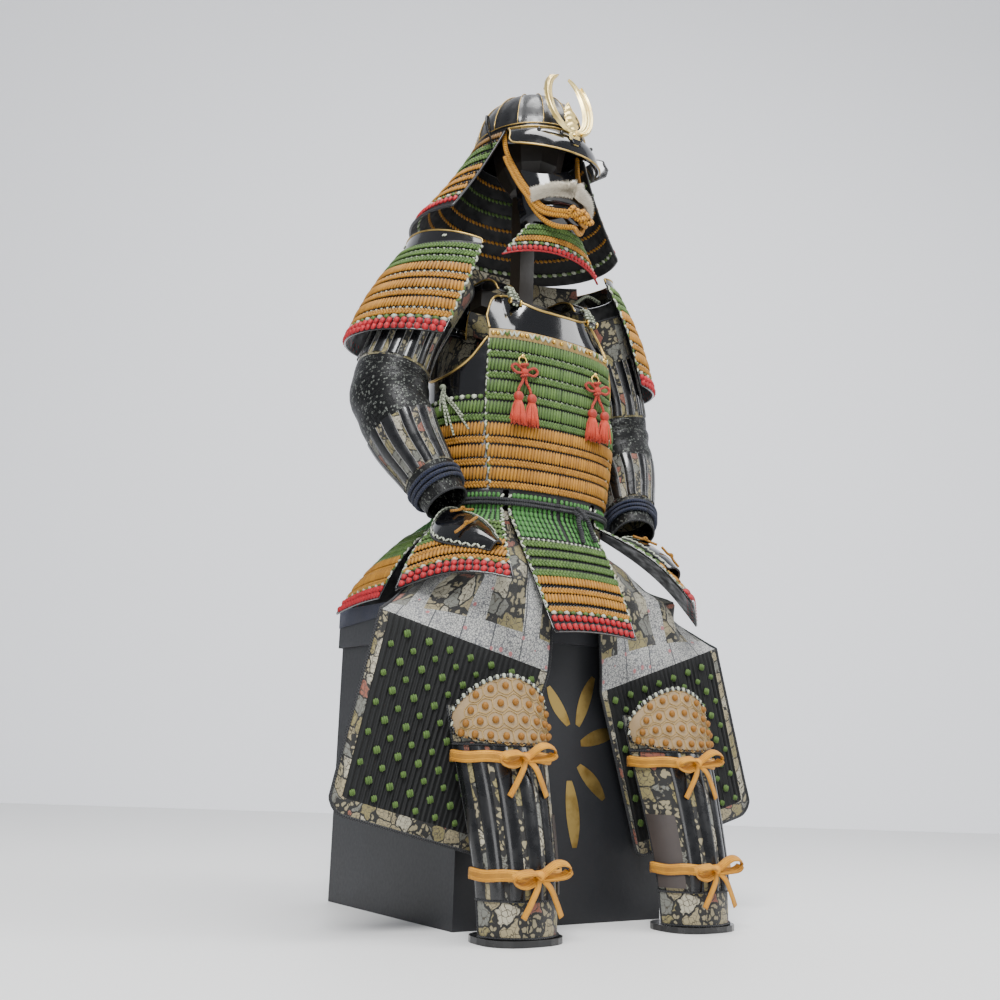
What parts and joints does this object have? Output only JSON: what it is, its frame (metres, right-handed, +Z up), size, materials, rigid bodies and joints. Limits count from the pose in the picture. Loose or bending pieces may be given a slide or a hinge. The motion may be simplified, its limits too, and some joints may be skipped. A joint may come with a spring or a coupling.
{
  "type": "samurai armour on a display stand and storage box",
  "caption": "Hollow suit of laced plate armour with helmet, half mask, sleeves, skirt, thigh and shin guards, seated on its lidded storage box over a plain limbless stand.",
  "frame": {"origin": "middle of the storage box's underside, on the floor", "axes": "+Z up, the armour faces -Y, the armour's left side is +X"},
  "size_m": [0.884, 0.6599, 1.6129],
  "materials": {
    "black_lacquer": "gloss",
    "satin_lacquer": "satin",
    "green_lace": "matte",
    "ochre_lace": "matte",
    "gilt_metal": "polished",
    "brocade": "matte",
    "leather": "matte",
    "navy_cord": "matte",
    "ochre_cord": "matte",
    "red_silk": "satin",
    "pale_cord": "matte",
    "white_fur": "matte",
    "box_lacquer": "satin",
    "navy_cloth": "matte",
    "stand_wood": "matte"
  },
  "bodies": {
    "suit": {"box_body": "box_lacquer", "box_lid": "box_lacquer", "lid_cloth": "navy_cloth", "stand": "stand_wood", "helmet_bowl": "satin_lacquer", "helmet_finial": "gilt_metal", "helmet_peak": "black_lacquer", "ear_plate_right": "black_lacquer", "ear_plate_left": "black_lacquer", "neck_guard": "ochre_lace", "face_mask": "black_lacquer", "moustache": "white_fur", "throat_guard": "green_lace", "chin_cord": "ochre_cord", "shoulder_strap_right": "black_lacquer", "shoulder_strap_left": "black_lacquer", "chest_plate": "black_lacquer", "stud_band": "leather", "cuirass_front": "green_lace", "cuirass_side_right": "black_lacquer", "cuirass_side_left": "black_lacquer", "cuirass_back": "green_lace", "breast_ring_right": "gilt_metal", "breast_ring_left": "gilt_metal", "breast_tassel_right": "red_silk", "breast_tassel_left": "red_silk", "side_tie": "pale_cord", "sash": "navy_cord", "tasset_front": "ochre_lace", "tasset_front_right": "ochre_lace", "tasset_front_left": "ochre_lace", "tasset_side_right": "ochre_lace", "tasset_side_left": "ochre_lace", "tasset_back_right": "ochre_lace", "tasset_back_left": "ochre_lace", "shoulder_guard_right": "ochre_lace", "shoulder_guard_left": "ochre_lace", "shoulder_plate_right": "black_lacquer", "shoulder_plate_left": "black_lacquer", "sleeve_right": "brocade", "sleeve_left": "brocade", "wrist_tie_right": "navy_cord", "wrist_tie_left": "navy_cord", "hand_guard_right": "black_lacquer", "hand_guard_left": "black_lacquer", "waistband": "brocade", "thigh_guard_right": "brocade", "thigh_guard_left": "brocade", "shin_base_right": "black_lacquer", "shin_base_left": "black_lacquer", "shin_guard_right": "brocade", "shin_guard_left": "brocade", "knee_patch_right": "leather", "knee_patch_left": "leather", "shin_tie_upper_right": "ochre_cord", "shin_tie_lower_right": "ochre_cord", "shin_tie_upper_left": "ochre_cord", "shin_tie_lower_left": "ochre_cord"},
    "crest": {"crest": "gilt_metal"}
  },
  "joints": [
    {"name": "crest_lift", "type": "slide", "parent": "suit", "child": "crest", "axis": [0, 0.2756, 0.9613], "range_m": [0, 0.022]}
  ]
}
